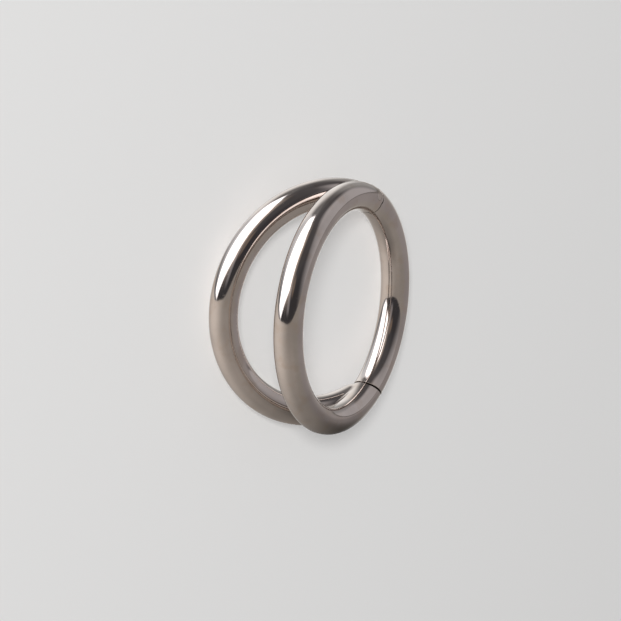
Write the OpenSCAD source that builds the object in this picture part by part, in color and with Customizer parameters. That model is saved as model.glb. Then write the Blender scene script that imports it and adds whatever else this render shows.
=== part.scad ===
// Double-hoop segment ring for a body piercing.
// Two round-wire hoops leave the hinge end together, lean apart and meet again at
// the clasp end. The hinged segment closes the front hoop between the two ends.
// The ring lies on its side as it comes to rest: the leaning hoop's far point and
// the middle of the segment touch the ground at z = 0.

/* [Wire and hoops] */
// Thickness of the round wire
wire_d = 1.2; // [0.8:0.1:1.6]
// Clear width inside each hoop
inner_d = 8; // [7:0.5:12]
// Angle at which the second hoop leans away from the first
hoop_spread = 31; // [20:1:40]
// Where the leaning hoop's ends sink into the front hoop, past the seams
hoop_end_lead = 10; // [8:1:14]

/* [Hinged segment] */
// Angle from the middle of the segment to its hinge seam
hinge_seam = 61; // [50:1:66]
// Angle from the middle of the segment to its clasp seam
clasp_seam = 62; // [50:1:66]
// Slant of the clasp seam, so that the segment swings out freely
clasp_slant = 18; // [0:1:25]
// Gap left open at the clasp seam
clasp_gap = 0.12; // [0.06:0.01:0.2]
// Gap left open at the hinge seam
hinge_gap = 0.05; // [0.03:0.01:0.1]

/* [Hinge] */
// Thickness of the hinge pin
pin_d = 0.4; // [0.3:0.05:0.5]
// Distance of the pin outside the wire's centreline
pin_outset = 0.2; // [0.1:0.01:0.22]
// Distance of the pin behind the hinge seam
pin_setback = 0.27; // [0.22:0.01:0.32]
// Thickness of the segment's tongue between the two cheeks
tongue_w = 0.4; // [0.3:0.02:0.5]
// Clearance beside the tongue, on each side
tongue_side_gap = 0.03; // [0.02:0.01:0.05]
// Radial clearance of the pin in the tongue
pin_run_gap = 0.02; // [0.01:0.01:0.04]
// Radial gap of the pin in the cheeks
pin_seat_gap = 0.01; // [0.01:0.005:0.02]

/* [Catch] */
// Thickness of the catch stub on the segment's free end
stub_d = 0.36; // [0.3:0.02:0.4]
// Reach of the stub past the middle of the clasp seam
stub_reach = 0.42; // [0.3:0.02:0.5]
// Clearance around the stub in its socket
stub_gap = 0.04; // [0.03:0.01:0.06]

/* [Hidden] */
$fn = 96;

wire_r = wire_d / 2;
hoop_r = inner_d / 2 + wire_r;
// Distance from the front hoop's centre to the line through both ends
chord_offset = hoop_r * cos(hinge_seam);
// The leaning hoop's end balls are a hair under the wire, so their rims sink into it
end_ball_r = wire_r - 0.01;

// The pin, and the round knuckle that runs around it out to the wire's outside
pin_path_r = hoop_r + pin_outset;
pin_angle = hinge_seam + atan(pin_setback / pin_path_r);
pin_at = pin_path_r * [cos(pin_angle), sin(pin_angle)];
knuckle_r = wire_r - pin_outset;
knuckle_cut_r = knuckle_r + hinge_gap;
// Arc that surely holds a whole knuckle, in degrees, and a length that spans it
local_arc = 14;
reach = 2 * wire_d;

// The clasp seam's middle, and the way that the segment's end swings shut there
clasp_at = hoop_r * [cos(clasp_seam), -sin(clasp_seam)];
swing_angle = atan2(clasp_at.y - pin_at.y, clasp_at.x - pin_at.x) - 90;
stub_root = 0.25;

// Far point of the leaning hoop's centreline, in the plane through the middle
far_reach = hoop_r + chord_offset;
far_x = chord_offset - far_reach * cos(hoop_spread);
far_z = -far_reach * sin(hoop_spread);
// Tilt at which that point and the segment's middle lie equally low
rest_tilt = atan(-far_z / (hoop_r - far_x));
rest_lift = hoop_r * sin(rest_tilt) + wire_r;
// Sideways extent at rest, which puts the origin below the middle
high_x = hoop_r * cos(rest_tilt) + wire_r;
lean_centre = [chord_offset * (1 - cos(hoop_spread)), -chord_offset * sin(hoop_spread)];
low_x = lean_centre.x * cos(rest_tilt) + lean_centre.y * sin(rest_tilt)
    - hoop_r * cos(hoop_spread - rest_tilt) - wire_r;

// Lays the ring on its side, with the origin on the ground below its middle
module settle() {
    translate([-(high_x + low_x) / 2, 0, rest_lift])
        rotate([0, rest_tilt, 0])
            children();
}

// Round wire along the hoop's circle, from one angle to another
module wire_arc(from, to) {
    rotate([0, 0, from])
        rotate_extrude(angle = to - from)
            translate([hoop_r, 0])
                circle(r = wire_r);
}

// Turns the front hoop's place into the leaning hoop's, about the line of the ends
module lean() {
    translate([chord_offset, 0, 0])
        rotate([0, -hoop_spread, 0])
            translate([-chord_offset, 0, 0])
                children();
}

// Frame of the hinge: x outward, y away from the segment, z along the pin
module at_pin() {
    rotate([0, 0, pin_angle])
        translate([pin_path_r, 0, 0])
            children();
}

// Frame of the clasp seam: x along the seam outward, y towards the segment
module at_clasp() {
    rotate([0, 0, -clasp_seam])
        translate([hoop_r, 0, 0])
            rotate([0, 0, clasp_slant])
                children();
}

// Everything within reach on one side of the clasp seam: side 1 is the segment's
module clasp_side(side) {
    at_clasp()
        translate([-wire_d, side > 0 ? -clasp_gap / 2 : clasp_gap / 2 - 2 * wire_d, -wire_d])
            cube([2 * wire_d, 2 * wire_d, 2 * wire_d]);
}

module round_bar(radius, height) {
    cylinder(r = radius, h = height, center = true);
}

// Second hoop, with ball ends that sink into the front hoop
module leaning_hoop() {
    first = hinge_seam + hoop_end_lead;
    lean() {
        wire_arc(first, 360 - first);
        for (side = [1, -1])
            rotate([0, 0, side * first])
                translate([hoop_r, 0, 0])
                    sphere(r = end_ball_r);
    }
}

// What lies beyond the round ends of the two cheeks
module beyond_cheeks() {
    difference() {
        union() {
            translate([-reach, -reach - pin_setback, -reach])
                cube([2 * reach, reach, 2 * reach]);
            translate([0, -reach, -reach])
                cube([reach, reach, 2 * reach]);
        }
        round_bar(knuckle_r, 3 * reach);
    }
}

// Room for the tongue between the cheeks, through its whole swing
module tongue_slot() {
    width = tongue_w + 2 * tongue_side_gap;
    round_bar(knuckle_cut_r, width);
    translate([-reach, -reach, -width / 2])
        cube([2 * reach, reach, width]);
    translate([0, -reach, -width / 2])
        cube([reach, reach + knuckle_cut_r, width]);
}

// Room for one cheek beside the tongue: side 1 is on top, side -1 below
module cheek_room(side) {
    height = 2 * wire_d;
    translate([0, 0, side * (tongue_w + height) / 2]) {
        round_bar(knuckle_cut_r, height);
        translate([-reach, -pin_setback - hinge_gap, -height / 2])
            cube([reach, 2 * reach, height]);
        translate([0, -knuckle_cut_r, -height / 2])
            cube([reach, 2 * reach, height]);
    }
}

// What lies beyond the tongue's round end
module beyond_tongue() {
    difference() {
        translate([-reach, -hinge_gap, -reach])
            cube([2 * reach, reach, 2 * reach]);
        round_bar(knuckle_r, 3 * reach);
    }
}

// Blind socket for the catch stub, or the stub itself, along the closing swing
module catch_bar(radius, reach) {
    translate(clasp_at)
        rotate([0, 0, swing_angle])
            rotate([0, 90, 0])
                translate([0, 0, -stub_root]) {
                    cylinder(r = radius, h = reach + stub_root - radius);
                    translate([0, 0, reach + stub_root - radius])
                        sphere(r = radius);
                }
}

module double_hoop() {
    color([0.55, 0.52, 0.50])
        settle()
            difference() {
                union() {
                    wire_arc(hinge_seam - local_arc, 360 - clasp_seam + local_arc / 2);
                    leaning_hoop();
                }
                at_pin() {
                    beyond_cheeks();
                    tongue_slot();
                    round_bar(pin_d / 2 + pin_seat_gap, 3 * wire_d);
                }
                clasp_side(1);
                catch_bar(stub_d / 2 + stub_gap, stub_reach + stub_gap);
            }
}

module hinged_segment() {
    color([0.52, 0.49, 0.47])
        settle() {
            difference() {
                wire_arc(-clasp_seam - local_arc / 2, hinge_seam + local_arc);
                at_pin() {
                    cheek_room(1);
                    cheek_room(-1);
                    beyond_tongue();
                    round_bar(pin_d / 2 + pin_run_gap, 3 * wire_d);
                }
                clasp_side(-1);
            }
            catch_bar(stub_d / 2, stub_reach);
        }
}

// Plain pin, polished flush with the metal round it at both ends
module hinge_pin() {
    color([0.60, 0.58, 0.56])
        settle()
            intersection() {
                at_pin() round_bar(pin_d / 2, 3 * wire_d);
                union() {
                    wire_arc(hinge_seam - local_arc, hinge_seam + local_arc);
                    leaning_hoop();
                }
            }
}

double_hoop();
hinged_segment();
hinge_pin();
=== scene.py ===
# Looks for the double-hoop segment ring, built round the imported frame.
# The three metal pieces are remade as fine meshes in the part's own millimetres, then laid in the frame.
import math

import bmesh
import bpy
import numpy as np
from mathutils import Matrix, Vector


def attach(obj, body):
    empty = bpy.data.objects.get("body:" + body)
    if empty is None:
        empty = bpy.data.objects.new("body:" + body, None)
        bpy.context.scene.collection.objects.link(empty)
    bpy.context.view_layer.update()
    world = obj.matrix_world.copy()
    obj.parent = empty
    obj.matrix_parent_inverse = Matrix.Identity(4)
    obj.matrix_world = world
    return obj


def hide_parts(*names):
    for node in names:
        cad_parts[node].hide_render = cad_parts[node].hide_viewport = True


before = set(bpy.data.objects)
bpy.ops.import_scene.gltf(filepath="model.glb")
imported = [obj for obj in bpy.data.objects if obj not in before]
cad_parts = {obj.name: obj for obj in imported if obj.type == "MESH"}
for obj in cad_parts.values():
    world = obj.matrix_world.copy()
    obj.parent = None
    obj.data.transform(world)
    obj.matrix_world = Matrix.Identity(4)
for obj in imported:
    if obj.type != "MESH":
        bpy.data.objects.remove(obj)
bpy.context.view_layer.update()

MM = 0.001

# The ring's driving sizes, in millimetres, as in the part's source. The clasp seam alone is
# narrower here: the source leaves running clearance there, and a shut ring shows less.
WIRE_D = 1.2
INNER_D = 8.0
HOOP_SPREAD = math.radians(31)
HOOP_END_LEAD = math.radians(10)
HINGE_SEAM = math.radians(61)
CLASP_SEAM = math.radians(62)
CLASP_SLANT = math.radians(18)
CLASP_GAP = 0.07
HINGE_GAP = 0.05
PIN_D = 0.4
PIN_OUTSET = 0.2
PIN_SETBACK = 0.27
TONGUE_W = 0.4
TONGUE_SIDE_GAP = 0.03
PIN_RUN_GAP = 0.02
PIN_SEAT_GAP = 0.01
STUB_D = 0.36
STUB_REACH = 0.42
STUB_GAP = 0.04
STUB_ROOT = 0.25

WIRE_R = WIRE_D / 2
HOOP_R = INNER_D / 2 + WIRE_R
# Distance from the front hoop's centre to the line through both ends
CHORD_OFFSET = HOOP_R * math.cos(HINGE_SEAM)
# The leaning hoop's end balls are a hair under the wire, so their rims sink into it
BALL_R = WIRE_R - 0.01
PIN_PATH_R = HOOP_R + PIN_OUTSET
PIN_ANGLE = HINGE_SEAM + math.atan(PIN_SETBACK / PIN_PATH_R)
KNUCKLE_R = WIRE_R - PIN_OUTSET
KNUCKLE_CUT_R = KNUCKLE_R + HINGE_GAP
# Arc that surely holds a whole knuckle, and a length that spans it
LOCAL_ARC = math.radians(14)
REACH = 2 * WIRE_D

# How the ring rests on its side: on the leaning hoop's far point and the segment's middle
FAR_REACH = HOOP_R + CHORD_OFFSET
FAR_X = CHORD_OFFSET - FAR_REACH * math.cos(HOOP_SPREAD)
FAR_Z = -FAR_REACH * math.sin(HOOP_SPREAD)
REST_TILT = math.atan(-FAR_Z / (HOOP_R - FAR_X))
REST_LIFT = HOOP_R * math.sin(REST_TILT) + WIRE_R

# Fineness of the meshes, in millimetres where it is a length
SKIN_CELL = 0.048
RING_STEP = math.radians(0.75)
ROUND_SIDES = 72
CUT_SIDES = 96
BALL_RINGS = 13
WELD_REACH = 0.001
SMOOTH_ANGLE = math.radians(50)
# Evening out of the skin: rounds, share of the way to the neighbours' middle, largest move
# back to the surface, and rounds at the end that only lay the points on it
EVEN_ROUNDS = 12
EVEN_SHARE = 0.6
LARGEST_MOVE = 0.05
LAST_ROUNDS = 3
# Rounding of the edges, and the half width of the plane that takes a seam's edge off, as a
# share of that. The crease's fillet grows from its least share, from a small angle past the
# hinge seam, and the leaning hoop's wire starts inside its ball end, this share of the lead.
EDGE_ROUND = 0.02
PLANE_SHARE = 0.95
CREASE_ROUND = 0.07
CREASE_START = 0.02
CREASE_LEAST = 0.05
BURIED_SHARE = 0.8
# Search for the seams' lines, and how near the outer surface a point counts as on it
HALVINGS = 40
ON_SKIN = 0.001
# Depth below the outer surface past which a face gets the painted seam shade, with some grime
SUNKEN_DEPTH = 1.2 * EDGE_ROUND


def new_object(name, vertices, faces):
    mesh = bpy.data.meshes.new(name)
    mesh.from_pydata([tuple(v) for v in vertices], [], faces)
    work = bmesh.new()
    work.from_mesh(mesh)
    bmesh.ops.recalc_face_normals(work, faces=work.faces)
    work.to_mesh(mesh)
    work.free()
    thing = bpy.data.objects.new(name, mesh)
    bpy.context.scene.collection.objects.link(thing)
    return thing


def bake(thing):
    """Applies the modifiers and drops them."""
    done = bpy.data.meshes.new_from_object(thing.evaluated_get(bpy.context.evaluated_depsgraph_get()))
    thing.modifiers.clear()
    thing.data = done


def combine(thing, other, operation):
    """Unites, cuts or intersects thing with other, and removes other."""
    boolean = thing.modifiers.new("cut", "BOOLEAN")
    boolean.operation = operation
    boolean.solver = "EXACT"
    boolean.object = other
    bake(thing)
    bpy.data.objects.remove(other)


def closed_sweep(name, rings, loop=False):
    """Closed tube through rings of points, with flat ends or joined up in a loop."""
    count, total = len(rings[0]), len(rings) * len(rings[0])
    vertices = [point for ring in rings for point in ring]
    faces = []
    for row in range(len(rings) if loop else len(rings) - 1):
        for side in range(count):
            here, after = row * count + side, row * count + (side + 1) % count
            faces.append((here, after, (after + count) % total, (here + count) % total))
    if not loop:
        faces.append(tuple(range(count - 1, -1, -1)))
        faces.append(tuple(range(total - count, total)))
    return new_object(name, vertices, faces)


def wire_arc(name, first, last, place=Matrix()):
    """Round wire along the hoop's circle, from one angle to another."""
    steps = max(2, round((last - first) / RING_STEP))
    rings = []
    for angle in np.linspace(first, last, steps + 1):
        ring = []
        for turn in np.linspace(0, 2 * math.pi, ROUND_SIDES, endpoint=False):
            out = HOOP_R + WIRE_R * math.cos(turn)
            height = -WIRE_R * math.sin(turn)
            ring.append(place @ Vector((out * math.cos(angle), out * math.sin(angle), height)))
        rings.append(ring)
    return closed_sweep(name, rings)


def prism(name, outline, low, high, place):
    """Closed prism over an anticlockwise outline, from z = low to z = high."""
    rings = [[place @ Vector((x, y, z)) for x, y in outline] for z in (low, high)]
    return closed_sweep(name, rings)


def arc_points(radius, first, last):
    """Points on a circle round the origin, in degrees from first to last."""
    steps = max(2, round(abs(last - first) / 360 * CUT_SIDES))
    return [(radius * math.cos(math.radians(a)), radius * math.sin(math.radians(a)))
            for a in np.linspace(first, last, steps + 1)]


def round_bar(name, radius, low, high, place, ball_tip=False):
    """Round bar along z, with a ball as its upper end if asked for."""
    outline = arc_points(radius, 0, 360)[:-1]
    rings = [[place @ Vector((x, y, low)) for x, y in outline]]
    top = high - radius if ball_tip else high
    rings.append([place @ Vector((x, y, top)) for x, y in outline])
    if ball_tip:
        for lift in np.linspace(0, math.pi / 2, BALL_RINGS)[1:-1]:
            flat, height = math.cos(lift), top + radius * math.sin(lift)
            rings.append([place @ Vector((x * flat, y * flat, height)) for x, y in outline])
    return closed_sweep(name, rings)


def lean_matrix():
    """Turns the front hoop's place into the leaning hoop's, about the line of the ends."""
    chord = Matrix.Translation((CHORD_OFFSET, 0, 0))
    return chord @ Matrix.Rotation(-HOOP_SPREAD, 4, "Y") @ chord.inverted()


def pin_matrix():
    """Frame of the hinge: x outward, y away from the segment, z along the pin."""
    return Matrix.Rotation(PIN_ANGLE, 4, "Z") @ Matrix.Translation((PIN_PATH_R, 0, 0))


def clasp_matrix():
    """Frame of the clasp seam: x along the seam outward, y towards the segment."""
    turn = Matrix.Rotation(-CLASP_SEAM, 4, "Z")
    return turn @ Matrix.Translation((HOOP_R, 0, 0)) @ Matrix.Rotation(CLASP_SLANT, 4, "Z")


def catch_matrix():
    """Frame of the catch: z runs from the segment's end into the fixed end."""
    clasp = Vector((math.cos(CLASP_SEAM), -math.sin(CLASP_SEAM))) * HOOP_R
    pin = Vector((math.cos(PIN_ANGLE), math.sin(PIN_ANGLE))) * PIN_PATH_R
    swing = math.atan2(clasp.y - pin.y, clasp.x - pin.x) - math.pi / 2
    place = Matrix.Translation((clasp.x, clasp.y, 0)) @ Matrix.Rotation(swing, 4, "Z")
    return place @ Matrix.Rotation(math.pi / 2, 4, "Y") @ Matrix.Translation((0, 0, -STUB_ROOT))


def rest_matrix():
    """Lays the ring on its side, with the origin on the ground below its middle, in metres."""
    high_x = HOOP_R * math.cos(REST_TILT) + WIRE_R
    centre_x = CHORD_OFFSET * (1 - math.cos(HOOP_SPREAD))
    centre_z = -CHORD_OFFSET * math.sin(HOOP_SPREAD)
    low_x = centre_x * math.cos(REST_TILT) + centre_z * math.sin(REST_TILT)
    low_x -= HOOP_R * math.cos(HOOP_SPREAD - REST_TILT) + WIRE_R
    shift = Matrix.Translation((-(high_x + low_x) / 2, 0, REST_LIFT))
    return Matrix.Scale(MM, 4) @ (shift @ Matrix.Rotation(REST_TILT, 4, "Y"))


def beyond_cheeks():
    """What lies beyond the round ends of the two cheeks."""
    heel = math.degrees(math.asin(PIN_SETBACK / KNUCKLE_R))
    outline = [(-REACH, -PIN_SETBACK), (-REACH, -REACH), (REACH, -REACH), (REACH, 0)]
    outline += arc_points(KNUCKLE_R, 0, heel - 180)
    return prism("beyond_cheeks", outline, -REACH, REACH, pin_matrix())


def tongue_slot():
    """Room for the tongue between the cheeks, through its whole swing."""
    half = TONGUE_W / 2 + TONGUE_SIDE_GAP
    outline = [(-REACH, 0), (-REACH, -REACH), (REACH, -REACH), (REACH, KNUCKLE_CUT_R)]
    outline += arc_points(KNUCKLE_CUT_R, 90, 180)
    return prism("tongue_slot", outline, -half, half, pin_matrix())


def cheek_room(side):
    """Room for one cheek beside the tongue: side 1 is on top, side -1 below."""
    floor = PIN_SETBACK + HINGE_GAP
    heel = math.degrees(math.asin(floor / KNUCKLE_CUT_R))
    outline = [(-REACH, REACH), (-REACH, -floor)]
    outline += arc_points(KNUCKLE_CUT_R, heel - 180, -90)
    outline += [(REACH, -KNUCKLE_CUT_R), (REACH, REACH)]
    low, high = sorted((side * TONGUE_W / 2, side * REACH))
    return prism("cheek_room", outline, low, high, pin_matrix())


def beyond_tongue():
    """What lies beyond the tongue's round end."""
    lip = math.degrees(math.asin(HINGE_GAP / KNUCKLE_R))
    outline = [(REACH, -HINGE_GAP), (REACH, REACH), (-REACH, REACH), (-REACH, -HINGE_GAP)]
    outline += arc_points(KNUCKLE_R, 180 + lip, -lip)
    return prism("beyond_tongue", outline, -REACH, REACH, pin_matrix())


def clasp_side(side):
    """Everything within reach on one side of the clasp seam: side 1 is the segment's."""
    near, far = sorted((-side * CLASP_GAP / 2, side * 2 * WIRE_D))
    outline = [(-WIRE_D, near), (WIRE_D, near), (WIRE_D, far), (-WIRE_D, far)]
    return prism("clasp_side", outline, -WIRE_D, WIRE_D, clasp_matrix())


def pin_bore(gap):
    return round_bar("pin_bore", PIN_D / 2 + gap, -REACH, REACH, pin_matrix())


def catch_bar(radius, reach):
    """Blind socket for the catch stub, or the stub itself, along the closing swing."""
    return round_bar("catch_bar", radius, 0, reach + STUB_ROOT, catch_matrix(), ball_tip=True)


def wire_distance(points):
    """Signed distances in millimetres of an array of points from the front hoop's surface."""
    out = np.hypot(points[:, 0], points[:, 1]) - HOOP_R
    return np.hypot(out, points[:, 2]) - WIRE_R


def leaning_distance(points):
    """The leaning hoop's wire, with ball ends where it sinks into the front hoop."""
    back = np.array(lean_matrix().inverted())
    local = points @ back[:3, :3].T + back[:3, 3]
    first = HINGE_SEAM + HOOP_END_LEAD
    end = HOOP_R * np.array((math.cos(first), math.sin(first)))
    aside = (local[:, 0] - end[0]) ** 2 + (abs(local[:, 1]) - end[1]) ** 2
    ball = np.sqrt(aside + local[:, 2] ** 2) - BALL_R
    angle = abs(np.arctan2(local[:, 1], local[:, 0]))
    return np.where(angle > first, wire_distance(local), ball)


def double_hoop_distance(points):
    """Both hoops, with a round fillet in the crease that fades out at the seams."""
    front, leaning = wire_distance(points), leaning_distance(points)
    angle = abs(np.arctan2(points[:, 1], points[:, 0]))
    share = np.clip((angle - HINGE_SEAM - CREASE_START) / HOOP_END_LEAD, CREASE_LEAST, 1)
    width = CREASE_ROUND * share
    fillet = np.hypot(np.maximum(width - front, 0), np.maximum(width - leaning, 0))
    return np.maximum(width, np.minimum(front, leaning)) - fillet


def outward(points, distance):
    """Unit normals of the surface near the points."""
    step, never_zero = 0.0005, 1e-9
    sides = []
    for axis in np.eye(3):
        sides.append(distance(points + step * axis) - distance(points - step * axis))
    slope = np.stack(sides, axis=1) / (2 * step)
    return slope / np.maximum(np.linalg.norm(slope, axis=1, keepdims=True), never_zero)


def get_points(mesh):
    flat = np.empty(len(mesh.vertices) * 3, np.float32)
    mesh.vertices.foreach_get("co", flat)
    return flat.reshape(-1, 3).astype(float)


def settle_on(mesh, distance):
    """Evens out the mesh along the surface, and lays each point on the surface exactly."""
    points = get_points(mesh)
    edges = np.empty(len(mesh.edges) * 2, np.int32)
    mesh.edges.foreach_get("vertices", edges)
    start, end = edges.reshape(-1, 2).T
    count = np.bincount(np.concatenate((start, end)), minlength=len(points))[:, None]
    for turn in range(EVEN_ROUNDS + LAST_ROUNDS):
        if turn < EVEN_ROUNDS:
            total = np.zeros_like(points)
            for axis in range(3):
                total[:, axis] = np.bincount(start, points[end, axis], len(points))
                total[:, axis] += np.bincount(end, points[start, axis], len(points))
            points = points + EVEN_SHARE * (total / count - points)
        depth = np.clip(distance(points), -LARGEST_MOVE, LARGEST_MOVE)
        points = points - depth[:, None] * outward(points, distance)
    mesh.vertices.foreach_set("co", points.astype(np.float32).ravel())
    mesh.update()


def full_turn():
    return np.linspace(0, 2 * math.pi, ROUND_SIDES, endpoint=False)


def skin_point(angle, turn):
    """Point on the front hoop's surface and its normal, from the angles along and round the wire."""
    flat = np.array((math.cos(angle), math.sin(angle), 0))
    normal = math.cos(turn) * flat + np.array((0, 0, math.sin(turn)))
    return HOOP_R * flat + WIRE_R * normal, normal


def seam_points(depth, turns):
    """Where the wire's surface meets a wall of the hinge, for each turn round the wire.

    depth(x, y) in the hinge frame is positive in the metal. Returns points, the wire's
    normals there and the wall's normals, which face out of the metal.
    """
    wall_x = np.array((math.cos(PIN_ANGLE), math.sin(PIN_ANGLE), 0))
    wall_y = np.array((-math.sin(PIN_ANGLE), math.cos(PIN_ANGLE), 0))
    tiny = 1e-5

    def at(angle, turn):
        point, normal = skin_point(angle, turn)
        return point, normal, point @ wall_x - PIN_PATH_R, point @ wall_y

    rows = []
    for turn in turns:
        low, high = PIN_ANGLE - LOCAL_ARC, PIN_ANGLE + LOCAL_ARC
        rises = depth(*at(high, turn)[2:]) > 0
        for step in range(HALVINGS):
            middle = (low + high) / 2
            if (depth(*at(middle, turn)[2:]) > 0) == rises:
                high = middle
            else:
                low = middle
        point, normal, x, y = at(middle, turn)
        slope = ((depth(x + tiny, y) - depth(x - tiny, y)) * wall_x
                 + (depth(x, y + tiny) - depth(x, y - tiny)) * wall_y)
        rows.append((point, normal, -slope / np.linalg.norm(slope)))
    return rows


def edge_plane(name, rows, closed):
    """Thin cutter along an edge, which planes it off at EDGE_ROUND on both faces."""
    rings = []
    for point, skin, wall in rows:
        middle = point - EDGE_ROUND / 2 * (skin + wall)
        along = (skin - wall) / np.linalg.norm(skin - wall) * EDGE_ROUND * PLANE_SHARE
        rings.append([middle + along, middle - along, point + EDGE_ROUND * (skin + wall)])
    return closed_sweep(name, rings, closed)


def cheek_depth(x, y):
    """Depth in the two cheeks: behind their flats, or within the round knuckle."""
    return max(KNUCKLE_R - math.hypot(x, y), y + PIN_SETBACK if x < 0 else y)


def shoulder_depth(x, y):
    """Depth in the segment beside its tongue."""
    heel = -PIN_SETBACK - HINGE_GAP if x < 0 else -KNUCKLE_CUT_R
    return min(math.hypot(x, y) - KNUCKLE_CUT_R, heel - y)


def cheek_edge():
    return edge_plane("cheek_edge", seam_points(cheek_depth, full_turn()), True)


def shoulder_edge(side):
    """The edge beside the tongue, on one side of it."""
    hair = 0.001
    clear = math.asin((TONGUE_W / 2 + hair) / WIRE_R)
    turns = np.linspace(clear, math.pi - clear, ROUND_SIDES // 2) * side
    return edge_plane("shoulder_edge", seam_points(shoulder_depth, turns), False)


def clasp_edge(side):
    """The edge of the clasp seam: side 1 on the fixed hoop, side -1 on the segment."""
    place = np.array(clasp_matrix())
    along, across, middle = place[:3, 0], place[:3, 1], place[:3, 3]
    rows = []
    for turn in full_turn():
        low, high = -CLASP_SEAM - LOCAL_ARC / 2, -CLASP_SEAM + LOCAL_ARC / 2
        for step in range(HALVINGS):
            angle = (low + high) / 2
            point, normal = skin_point(angle, turn)
            if (point - middle) @ across > -side * CLASP_GAP / 2:
                high = angle
            else:
                low = angle
        rows.append((point, normal, side * across))
    return edge_plane("clasp_edge", rows, True)


def weld(mesh):
    """Takes out the slivers and doubled points that the cuts leave, so that the mesh stays closed."""
    work = bmesh.new()
    work.from_mesh(mesh)
    many_sided = [face for face in work.faces if len(face.verts) > 4]
    bmesh.ops.triangulate(work, faces=many_sided)
    bmesh.ops.remove_doubles(work, verts=work.verts, dist=WELD_REACH)
    bmesh.ops.dissolve_degenerate(work, dist=WELD_REACH, edges=work.edges)
    work.to_mesh(mesh)
    work.free()


def shade(thing, distance):
    """Smooth shading: exact normals on the outer surface, weighted ones on the cut faces."""
    mesh = thing.data
    weld(mesh)
    mesh.shade_smooth()
    mesh.set_sharp_from_angle(angle=SMOOTH_ANGLE)
    weigh = thing.modifiers.new("weigh", "WEIGHTED_NORMAL")
    weigh.keep_sharp = True
    bake(thing)
    mesh = thing.data
    normals = np.empty(len(mesh.loops) * 3, np.float32)
    mesh.corner_normals.foreach_get("vector", normals)
    normals = normals.reshape(-1, 3)
    corner = np.empty(len(mesh.loops), np.int32)
    mesh.loops.foreach_get("vertex_index", corner)
    points = get_points(mesh)
    exact = outward(points, distance)
    on_skin = abs(distance(points)) < ON_SKIN
    agree = np.einsum("ij,ij->i", normals, exact[corner]) > math.cos(SMOOTH_ANGLE)
    chosen = on_skin[corner] & agree
    normals[chosen] = exact[corner][chosen]
    mesh.normals_split_custom_set(normals)
    mark_sunken(mesh, distance)


def mark_sunken(mesh, distance):
    """Marks the faces inside the seams and bores, whose middle lies below the outer surface. The metal
    paints these darker, as painted shade with some grime.
    """
    centres = np.empty(len(mesh.polygons) * 3, np.float32)
    mesh.polygons.foreach_get("center", centres)
    sunken = distance(centres.reshape(-1, 3).astype(float)) < -SUNKEN_DEPTH
    marks = mesh.attributes.new("sunken", "FLOAT", "FACE")
    marks.data.foreach_set("value", sunken.astype(np.float32))


def make_hoop_skin():
    """The whole outer form of the fixed double hoop, before its seams are cut."""
    first = HINGE_SEAM - LOCAL_ARC
    skin = wire_arc("skin", first, 2 * math.pi - CLASP_SEAM + LOCAL_ARC / 2)
    sunk = HINGE_SEAM + BURIED_SHARE * HOOP_END_LEAD
    leaning = wire_arc("leaning", sunk, 2 * math.pi - sunk, lean_matrix())
    combine(skin, leaning, "UNION")
    remesh = skin.modifiers.new("skin", "REMESH")
    remesh.mode = "VOXEL"
    remesh.voxel_size = SKIN_CELL
    bake(skin)
    settle_on(skin.data, double_hoop_distance)
    return skin


def make_double_hoop(skin):
    hoop = bpy.data.objects.new("double_hoop_metal", skin.data.copy())
    bpy.context.scene.collection.objects.link(hoop)
    combine(hoop, beyond_cheeks(), "DIFFERENCE")
    combine(hoop, cheek_edge(), "DIFFERENCE")
    combine(hoop, tongue_slot(), "DIFFERENCE")
    combine(hoop, pin_bore(PIN_SEAT_GAP), "DIFFERENCE")
    combine(hoop, clasp_side(1), "DIFFERENCE")
    combine(hoop, clasp_edge(1), "DIFFERENCE")
    combine(hoop, catch_bar(STUB_D / 2 + STUB_GAP, STUB_REACH + STUB_GAP), "DIFFERENCE")
    shade(hoop, double_hoop_distance)
    return hoop


def make_segment():
    clasp_end, hinge_end = -CLASP_SEAM - LOCAL_ARC / 2, HINGE_SEAM + LOCAL_ARC
    segment = wire_arc("hinged_segment_metal", clasp_end, hinge_end)
    for side in (1, -1):
        combine(segment, cheek_room(side), "DIFFERENCE")
        combine(segment, shoulder_edge(side), "DIFFERENCE")
    combine(segment, beyond_tongue(), "DIFFERENCE")
    combine(segment, pin_bore(PIN_RUN_GAP), "DIFFERENCE")
    combine(segment, clasp_side(-1), "DIFFERENCE")
    combine(segment, clasp_edge(-1), "DIFFERENCE")
    combine(segment, catch_bar(STUB_D / 2, STUB_REACH), "UNION")
    shade(segment, wire_distance)
    return segment


def make_pin(skin):
    pin = round_bar("hinge_pin_metal", PIN_D / 2, -WIRE_D, WIRE_D, pin_matrix())
    combine(pin, skin, "INTERSECT")
    shade(pin, double_hoop_distance)
    return pin


# Camera: the photo's viewing direction on the ring, which lies on its side here. The focal
# length is in pixels of the photo, and the sensor's width in millimetres.
CAMERA_AZIMUTH = math.radians(154.143)
CAMERA_ELEVATION = math.radians(48.771)
CAMERA_ROLL = math.radians(110.058)
CAMERA_DISTANCE = 179.874 * MM
CAMERA_AIM = Vector((-0.8940, -0.0555, 1.7262)) * MM
PHOTO_WIDTH = 621
FOCAL_PIXELS = 4430.7
SENSOR_WIDTH = 36.0
# Half the floor's width, in metres
FLOOR_HALF = 1.5


def direction(azimuth, elevation):
    """Unit vector towards an azimuth from +X and an elevation above the floor."""
    flat = math.cos(elevation)
    return Vector((flat * math.cos(azimuth), flat * math.sin(azimuth), math.sin(elevation)))


def camera_axes():
    """The camera's right, up and back as the columns of a rotation."""
    back = direction(CAMERA_AZIMUTH, CAMERA_ELEVATION)
    right = Vector((0.0, 0.0, 1.0)).cross(back).normalized()
    upright = Matrix((right, back.cross(right), back)).transposed()
    return upright @ Matrix.Rotation(CAMERA_ROLL, 3, "Z")


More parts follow.
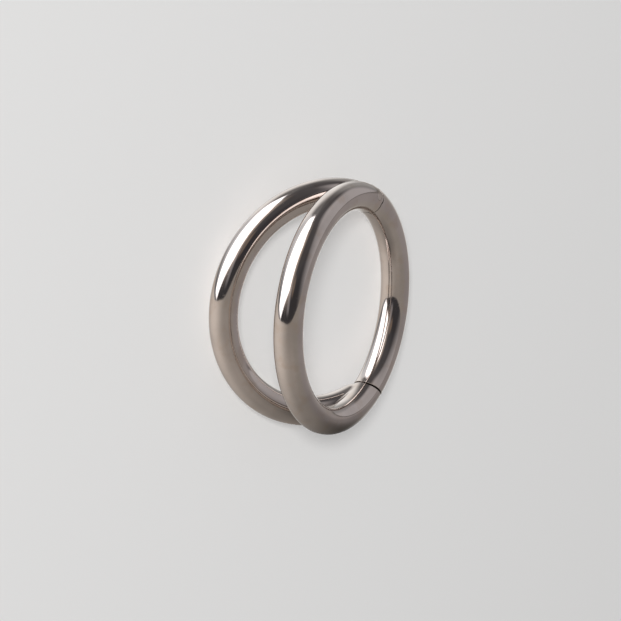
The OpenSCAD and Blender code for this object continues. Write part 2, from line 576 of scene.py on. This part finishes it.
def make_camera():
    data = bpy.data.cameras.new("camera")
    data.sensor_width = SENSOR_WIDTH
    data.lens = SENSOR_WIDTH * FOCAL_PIXELS / PHOTO_WIDTH
    data.clip_start = 0.01
    data.clip_end = 10.0
    camera = bpy.data.objects.new("camera", data)
    place = CAMERA_AIM + direction(CAMERA_AZIMUTH, CAMERA_ELEVATION) * CAMERA_DISTANCE
    camera.matrix_world = Matrix.Translation(place) @ camera_axes().to_4x4()
    bpy.context.scene.collection.objects.link(camera)
    bpy.context.scene.camera = camera


def make_square(name, half, material):
    """Level square round its own origin, from half its width."""
    corners = [(-half, -half, 0), (half, -half, 0), (half, half, 0), (-half, half, 0)]
    mesh = bpy.data.meshes.new(name)
    mesh.from_pydata(corners, [], [(0, 1, 2, 3)])
    mesh.materials.append(material)
    square = bpy.data.objects.new(name, mesh)
    bpy.context.scene.collection.objects.link(square)
    return square


def make_floor():
    """Plain pale paper that the ring lies on, 3 m wide. The metal doesn't mirror it."""
    paper = bpy.data.materials.new("pale_paper")
    paper.use_nodes = True
    shader = paper.node_tree.nodes["Principled BSDF"]
    shader.inputs["Base Color"].default_value = (0.80, 0.795, 0.785, 1.0)
    shader.inputs["Roughness"].default_value = 0.9
    shader.inputs["Specular IOR Level"].default_value = 0.1
    floor = make_square("floor", FLOOR_HALF, paper)
    floor.visible_glossy = False
    return floor


class Graph:
    """Short hand for wiring number nodes in a node tree."""

    def __init__(self, tree):
        self.tree = tree

    def link(self, source, socket):
        if isinstance(source, (int, float)):
            socket.default_value = source
        else:
            self.tree.links.new(source, socket)

    def math(self, operation, *values):
        node = self.tree.nodes.new("ShaderNodeMath")
        node.operation = operation
        for value, socket in zip(values, node.inputs):
            self.link(value, socket)
        return node.outputs[0]

    def ramp(self, value, low, high, start, end):
        """start below low, end above high, and a soft change between."""
        node = self.tree.nodes.new("ShaderNodeMapRange")
        node.interpolation_type = "SMOOTHSTEP"
        names = ("Value", "From Min", "From Max", "To Min", "To Max")
        for name, source in zip(names, (value, low, high, start, end)):
            self.link(source, node.inputs[name])
        return node.outputs["Result"]

    def part(self, vector, axis):
        """How far a vector reaches along a fixed axis."""
        node = self.tree.nodes.new("ShaderNodeVectorMath")
        node.operation = "DOT_PRODUCT"
        self.tree.links.new(vector, node.inputs[0])
        node.inputs[1].default_value = axis
        return node.outputs["Value"]

    def degrees_from(self, vector, axis):
        return self.math("DEGREES", self.math("ARCCOSINE", self.part(vector, axis)))

    def spread(self, place, centre, reach):
        """Distance from a centre, where 1 is the reach along each axis."""
        local = self.tree.nodes.new("ShaderNodeMapping")
        local.vector_type = "TEXTURE"
        local.inputs["Location"].default_value = centre
        local.inputs["Scale"].default_value = reach
        self.tree.links.new(place, local.inputs["Vector"])
        node = self.tree.nodes.new("ShaderNodeVectorMath")
        node.operation = "LENGTH"
        self.tree.links.new(local.outputs["Vector"], node.inputs[0])
        return node.outputs["Value"]

    def mix(self, factor, first, second):
        """Blends two colours."""
        node = self.tree.nodes.new("ShaderNodeMix")
        node.data_type = "RGBA"
        self.link(factor, node.inputs["Factor"])
        for name, colour in (("A", first), ("B", second)):
            socket = next(i for i in node.inputs if i.name == name and i.type == "RGBA")
            if isinstance(colour, tuple):
                socket.default_value = (*colour, 1.0)
            else:
                self.tree.links.new(colour, socket)
        return next(o for o in node.outputs if o.type == "RGBA")

    def noise(self, place, scale, seed, detail):
        """Soft cloud texture from 0 to 1, with its own shift for each seed."""
        shift = self.tree.nodes.new("ShaderNodeMapping")
        shift.inputs["Location"].default_value = tuple(seed * step for step in SEED_STEPS)
        self.tree.links.new(place, shift.inputs["Vector"])
        node = self.tree.nodes.new("ShaderNodeTexNoise")
        node.inputs["Scale"].default_value = scale
        node.inputs["Detail"].default_value = detail
        self.tree.links.new(shift.outputs["Vector"], node.inputs["Vector"])
        return node.outputs["Fac"]

    def scratches(self, place, turn, seed):
        """Thin straight hair lines in one direction, 1 on a line and 0 beside it."""
        mapping = self.tree.nodes.new("ShaderNodeMapping")
        mapping.inputs["Rotation"].default_value = turn
        mapping.inputs["Scale"].default_value = (1.0, 1.0, HAIR_STRETCH)
        self.tree.links.new(place, mapping.inputs["Vector"])
        lines = self.noise(mapping.outputs["Vector"], per_metre(HAIR_SIZE), seed, detail=2)
        return self.ramp(lines, 0.66, 0.74, 0, 1)

    def add_light(self, colour, tint, *levels):
        """Adds a tint to a colour, as strong as the product of the levels."""
        level = levels[0]
        for other in levels[1:]:
            level = self.math("MULTIPLY", level, other)
        node = self.tree.nodes.new("ShaderNodeVectorMath")
        node.operation = "MULTIPLY_ADD"
        self.link(level, node.inputs[0])
        node.inputs[1].default_value = tint
        if isinstance(colour, tuple):
            node.inputs[2].default_value = colour
        else:
            self.tree.links.new(colour, node.inputs[2])
        return node.outputs["Vector"]


def per_metre(size):
    """Texture scale for features of a size in millimetres."""
    return 1 / (size * MM)


# The metal as it mirrors straight on, of the wire and of the pin
TITANIUM = (0.56, 0.505, 0.473)
PALER_TITANIUM = (0.60, 0.55, 0.52)
# Sizes of the metal's textures in millimetres, the scale along a hair scratch that draws it
# out, and the shift of a texture for each seed
MOTTLING_SIZE = 1.6
WAVE_SIZE = 2.2
GRAIN_SIZE = 0.09
BLOTCH_SIZE = 0.55
HAIR_SIZE = 0.12
HAIR_STRETCH = 0.04
SEED_STEPS = (0.37, 0.61, 0.23)
# Heights of the bumps in metres
WAVE_HEIGHT = 5.0e-6
GRAIN_HEIGHT = 0.12e-6
HAIR_DEPTH = 0.15e-6

# The studio as it stood round the upright ring: pitch of the camera above that ground. Its
# directions are in degrees right of straight ahead and degrees up.
STUDIO_PITCH = math.radians(24)
# Corners of the big softbox over the left of the ring
SOFTBOX_CORNERS = ((-112, 2), (-154, 33), (-170, 72), (-15, 70), (-42, 45), (-88, 3.5))
# Heights of the ground's far edge, ahead and behind
GROUND_EDGE = (-2.4, 4.8)
# Where the ground is lit most, and patches on it: direction, full within, gone beyond, tint
GROUND_LIT = (-98, -6)
GROUND_PATCHES = (
    (70, -8, 15, 50, (0.0, 0.0, 0.03)),
    (168, -28, 10, 40, (0.06, 0.05, 0.045)),
    (18, -27, 6, 23, (0.44, 0.47, 0.49)),
    (-16, -17, 8, 30, (0.29, 0.30, 0.31)),
)
# Middles of the softbox's glow on the wall and of a small window, both behind the camera
GLOW_MIDDLE = (-175, 45)
WINDOW_MIDDLE = (176, 34)
# Tints of what stands in the studio, and of the room away from any lamp
SOFTBOX = (2.6, 2.6, 2.7)
GROUND = (1.07, 1.0, 0.925)
GREY_CARD = (0.505, 0.49, 0.50)
WALL_AHEAD = (1.18, 1.19, 1.17)
WALL_LEFT = (0.96, 1.0, 1.04)
GLOW = (1.12, 0.96, 0.82)
WINDOW = (0.20, 0.15, 0.11)
CEILING = (1.0, 0.95, 0.95)
STAND = (1.0, 0.96, 1.0)
DARK_ROOM = (0.062, 0.061, 0.067)
BLACK = (0.0, 0.0, 0.0)
# Light that reaches the floor from all round
FILL_LIGHT = (0.26, 0.26, 0.265)
# The shadow on the studio's ground, in millimetres: half the film's width, its drop below
# the ring's foot, and centre and reach of the shadow's core and of its halo
SHADE_HALF = 9
SHADE_DROP = 0.02
SHADE_CORE = ((0.6, -1.5, 0), (2.5, 2.5, 1))
SHADE_HALO = ((2.2, -1.8, 0), (7.5, 7.0, 1))
# Distance and width of the floor's softboxes, in metres
LAMP_DISTANCE = 0.35
LAMP_WIDTH = 0.06


def studio_direction(azimuth, elevation):
    """Direction in the studio, from degrees right of straight ahead and degrees up."""
    right, up, back = (camera_axes() @ Matrix.Rotation(STUDIO_PITCH, 3, "X")).transposed()
    flat = math.cos(math.radians(elevation))
    level = right * math.sin(math.radians(azimuth)) - back * math.cos(math.radians(azimuth))
    return level * flat + up * math.sin(math.radians(elevation))


def softbox_mask(graph, ray, outside, inside):
    """From 0 to 1 between two depths within the softbox's edges, in degrees."""
    corners = [studio_direction(*corner) for corner in SOFTBOX_CORNERS]
    mask = 1.0
    for first, second in zip(corners, corners[1:] + corners[:1]):
        inward = first.cross(second).normalized()
        depth = graph.math("DEGREES", graph.math("ARCSINE", graph.part(ray, inward)))
        mask = graph.math("MULTIPLY", mask, graph.ramp(depth, outside, inside, 0, 1))
    return mask


def ground_light(graph, ray):
    """The pale ground as the metal sees it: brightest under the softbox and ahead of the ring."""
    lit = graph.ramp(graph.degrees_from(ray, studio_direction(*GROUND_LIT)), 8, 92, 0.50, 0)
    light = graph.add_light(BLACK, GROUND, graph.math("ADD", lit, 0.375))
    for azimuth, elevation, near, far, tint in GROUND_PATCHES:
        away = graph.degrees_from(ray, studio_direction(azimuth, elevation))
        light = graph.add_light(light, tint, graph.ramp(away, near, far, 1, 0))
    return light


def room_light(graph, ray, azimuth, elevation):
    """The room above the ground: a grey card right, white walls ahead and left, a glow behind.

    Each light is a tint times its bounds in azimuth and elevation, which are in degrees.
    """
    card_top = graph.math("SUBTRACT", elevation, graph.ramp(azimuth, 35, 75, 29, 52))
    card_top = graph.math("ADD", card_top, graph.ramp(azimuth, 85, 125, 0, 24))
    light = graph.add_light(DARK_ROOM, GREY_CARD, graph.ramp(azimuth, 28, 44, 0, 1),
                            graph.ramp(azimuth, 78, 140, 1, 0),
                            graph.ramp(card_top, -10, 14, 1, 0.03))
    light = graph.add_light(light, WALL_AHEAD, graph.ramp(azimuth, -36, -30, 0, 1),
                            graph.ramp(azimuth, -5, 15, 1, 0.32), graph.ramp(azimuth, 24, 42, 1, 0),
                            graph.ramp(elevation, 23, 54, 1, 0.12))
    light = graph.add_light(light, WALL_LEFT, graph.ramp(azimuth, -105, -85, 0, 1),
                            graph.ramp(azimuth, -36, -30, 1, 0),
                            graph.ramp(elevation, 2, 24, 0.42, 0.95))
    from_glow = graph.degrees_from(ray, studio_direction(*GLOW_MIDDLE))
    light = graph.add_light(light, GLOW, softbox_mask(graph, ray, -20, 0),
                            graph.ramp(from_glow, 32, 56, 0.5, 0),
                            graph.ramp(elevation, 10, 40, 0.3, 1))
    from_window = graph.degrees_from(ray, studio_direction(*WINDOW_MIDDLE))
    light = graph.add_light(light, WINDOW, graph.ramp(from_window, 4, 12, 1, 0))
    light = graph.add_light(light, CEILING, graph.ramp(elevation, 25, 50, 0, 0.045))
    from_stand = graph.math("ABSOLUTE", graph.math("ADD", azimuth, 164))
    return graph.add_light(light, STAND, graph.ramp(from_stand, 4, 13, 0.27, 0),
                           graph.ramp(elevation, 9, 18, 0, 1), graph.ramp(elevation, 30, 42, 1, 0))


def edge_line(graph, azimuth, elevation, above_edge):
    """How far the dark line along the ground's far edge hides the light, right and left."""
    below = graph.ramp(above_edge, -4, -1, 0, 1)
    above = graph.ramp(above_edge, -1, 0.8, 1, 0)
    right = graph.math("MULTIPLY", below, above)
    right = graph.math("MULTIPLY", right, graph.ramp(azimuth, 15, 30, 0, 1))
    right = graph.math("MULTIPLY", right, graph.ramp(azimuth, 60, 85, 0.45, 0))
    height = graph.math("ABSOLUTE", graph.math("SUBTRACT", elevation, 1.8))
    side = graph.math("ABSOLUTE", graph.math("ADD", azimuth, 64))
    left = graph.math("MULTIPLY", graph.ramp(height, 1.5, 5, 0.5, 0), graph.ramp(side, 16, 26, 1, 0))
    return graph.math("MAXIMUM", right, left)


def make_studio():
    """What the polished metal reflects, and an even fill for all that isn't a reflection."""
    world = bpy.data.worlds.new("studio")
    bpy.context.scene.world = world
    world.use_nodes = True
    tree = world.node_tree
    graph = Graph(tree)
    ray = tree.nodes.new("ShaderNodeTexCoord").outputs["Generated"]
    upward = graph.part(ray, studio_direction(0, 90))
    elevation = graph.math("DEGREES", graph.math("ARCSINE", upward))
    rightward = graph.part(ray, studio_direction(90, 0))
    ahead = graph.part(ray, studio_direction(0, 0))
    azimuth = graph.math("DEGREES", graph.math("ARCTAN2", rightward, ahead))
    edge = graph.ramp(graph.math("ABSOLUTE", azimuth), 75, 150, *GROUND_EDGE)
    above_edge = graph.math("SUBTRACT", elevation, edge)
    light = graph.mix(graph.ramp(above_edge, -0.5, 0.5, 1, 0),
                      room_light(graph, ray, azimuth, elevation), ground_light(graph, ray))
    light = graph.mix(edge_line(graph, azimuth, elevation, above_edge), light, BLACK)
    light = graph.add_light(light, SOFTBOX, softbox_mask(graph, ray, -2, 2))
    mirrored = tree.nodes.new("ShaderNodeLightPath").outputs["Is Glossy Ray"]
    seen = graph.mix(mirrored, FILL_LIGHT, light)
    tree.links.new(seen, tree.nodes["Background"].inputs["Color"])


def make_ground_shade(skin):
    """The soft shadow on that ground round the upright ring's foot, seen in the metal alone."""
    film = bpy.data.materials.new("ground_shade")
    film.use_nodes = True
    tree = film.node_tree
    tree.nodes.remove(tree.nodes["Principled BSDF"])
    graph = Graph(tree)
    spot = tree.nodes.new("ShaderNodeTexCoord").outputs["Object"]
    core = graph.ramp(graph.spread(spot, *SHADE_CORE), 0, 1, 0.27, 1)
    halo = graph.ramp(graph.spread(spot, *SHADE_HALO), 0, 1, 0.64, 1)
    clear = tree.nodes.new("ShaderNodeBsdfTransparent")
    tree.links.new(graph.math("MULTIPLY", core, halo), clear.inputs["Color"])
    tree.links.new(clear.outputs["BSDF"], tree.nodes["Material Output"].inputs["Surface"])

    right, ahead, up = studio_direction(90, 0), studio_direction(0, 0), studio_direction(0, 90)
    place = rest_matrix()
    foot = min((place @ vertex.co for vertex in skin.data.vertices), key=up.dot)
    turn = Matrix((right, ahead, up)).transposed().to_4x4()
    centre = Matrix.Translation(foot - up * SHADE_DROP * MM)
    ground_shade = make_square("ground_shade", SHADE_HALF, film)
    ground_shade.matrix_world = centre @ turn @ Matrix.Scale(MM, 4)
    ground_shade.visible_camera = False
    ground_shade.visible_diffuse = False
    ground_shade.visible_shadow = False


def make_titanium(name, colour, seed):
    """Polished titanium: faint mottling and blotches, hair scratches and waviness, and rougher seams
    whose colour carries painted shade with some grime.
    """
    metal = bpy.data.materials.new(name)
    metal.use_nodes = True
    tree = metal.node_tree
    graph = Graph(tree)
    shader = tree.nodes["Principled BSDF"]
    shader.inputs["Metallic"].default_value = 1.0
    place = tree.nodes.new("ShaderNodeTexCoord").outputs["Object"]
    mottling = graph.noise(place, per_metre(MOTTLING_SIZE), seed, detail=3)
    blotches = graph.noise(place, per_metre(BLOTCH_SIZE), seed + 3, detail=4)
    wave = graph.noise(place, per_metre(WAVE_SIZE), seed + 5, detail=0)
    grain = graph.noise(place, per_metre(GRAIN_SIZE), seed + 9, detail=2)
    scratches = graph.math("MAXIMUM", graph.scratches(place, (0.3, 0.9, 0.2), seed + 13),
                           graph.scratches(place, (-0.7, 0.2, 1.1), seed + 17))
    sunken = tree.nodes.new("ShaderNodeAttribute")
    sunken.attribute_name = "sunken"
    in_seam = sunken.outputs["Fac"]

    darker = tuple(0.86 * part for part in colour)
    browner = tuple(share * part for share, part in zip((0.90, 0.85, 0.80), colour))
    tone = graph.mix(graph.ramp(mottling, 0.35, 0.75, 0, 1), colour, darker)
    tone = graph.mix(graph.ramp(blotches, 0.48, 0.72, 0, 0.7), tone, browner)
    # Faces in the seams and bores are painted darker: painted shade of the recess, with some grime
    seam_shade_and_grime = tuple(0.35 * part for part in colour)
    tree.links.new(graph.mix(in_seam, tone, seam_shade_and_grime), shader.inputs["Base Color"])
    roughness = graph.ramp(mottling, 0.3, 0.7, 0.055, 0.085)
    roughness = graph.math("MULTIPLY_ADD", scratches, 0.10, roughness)
    tree.links.new(graph.math("MULTIPLY_ADD", in_seam, 0.35, roughness), shader.inputs["Roughness"])

    normal = None
    for relief, height in ((wave, WAVE_HEIGHT), (grain, GRAIN_HEIGHT), (scratches, -HAIR_DEPTH)):
        bump = tree.nodes.new("ShaderNodeBump")
        bump.inputs["Distance"].default_value = height
        tree.links.new(relief, bump.inputs["Height"])
        if normal:
            tree.links.new(normal, bump.inputs["Normal"])
        normal = bump.outputs["Normal"]
    tree.links.new(normal, shader.inputs["Normal"])
    return metal


def make_floor_light(name, energy, offset):
    """A round softbox near the camera, offset to its right and upward, which lights the floor."""
    data = bpy.data.lights.new(name, "AREA")
    data.shape = "DISK"
    data.size = LAMP_WIDTH
    data.energy = energy
    light = bpy.data.objects.new(name, data)
    towards = (camera_axes() @ Vector((*offset, 1.0))).normalized()
    turn = towards.to_track_quat("Z", "Y").to_matrix().to_4x4()
    light.matrix_world = Matrix.Translation(towards * LAMP_DISTANCE) @ turn
    light.visible_glossy = False
    bpy.context.scene.collection.objects.link(light)
    return light


def make_lights(floor):
    """A key light a little above the camera, and an even light in which the ring casts no shadow."""
    make_floor_light("key_light", 0.42, (-0.03, 0.10))
    even = make_floor_light("even_light", 0.58, (0.0, 0.0))
    shading = bpy.data.collections.new("shades_even_light")
    shading.objects.link(floor)
    even.light_linking.blocker_collection = shading


def settle_in(piece, body, node, metal):
    """Lays a finished piece in the frame, where it stands for its node."""
    piece.data.transform(rest_matrix())
    piece.data.materials.clear()
    piece.data.materials.append(metal)
    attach(piece, body)
    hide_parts(node)


bpy.context.scene.view_settings.view_transform = "Standard"
make_camera()
make_lights(make_floor())
make_studio()

skin = make_hoop_skin()
make_ground_shade(skin)
settle_in(make_double_hoop(skin), "hoops", "double_hoop",
          make_titanium("hoop_titanium", TITANIUM, 1))
settle_in(make_segment(), "segment", "hinged_segment",
          make_titanium("segment_titanium", TITANIUM, 2))
settle_in(make_pin(skin), "hoops", "hinge_pin",
          make_titanium("pin_titanium", PALER_TITANIUM, 3))
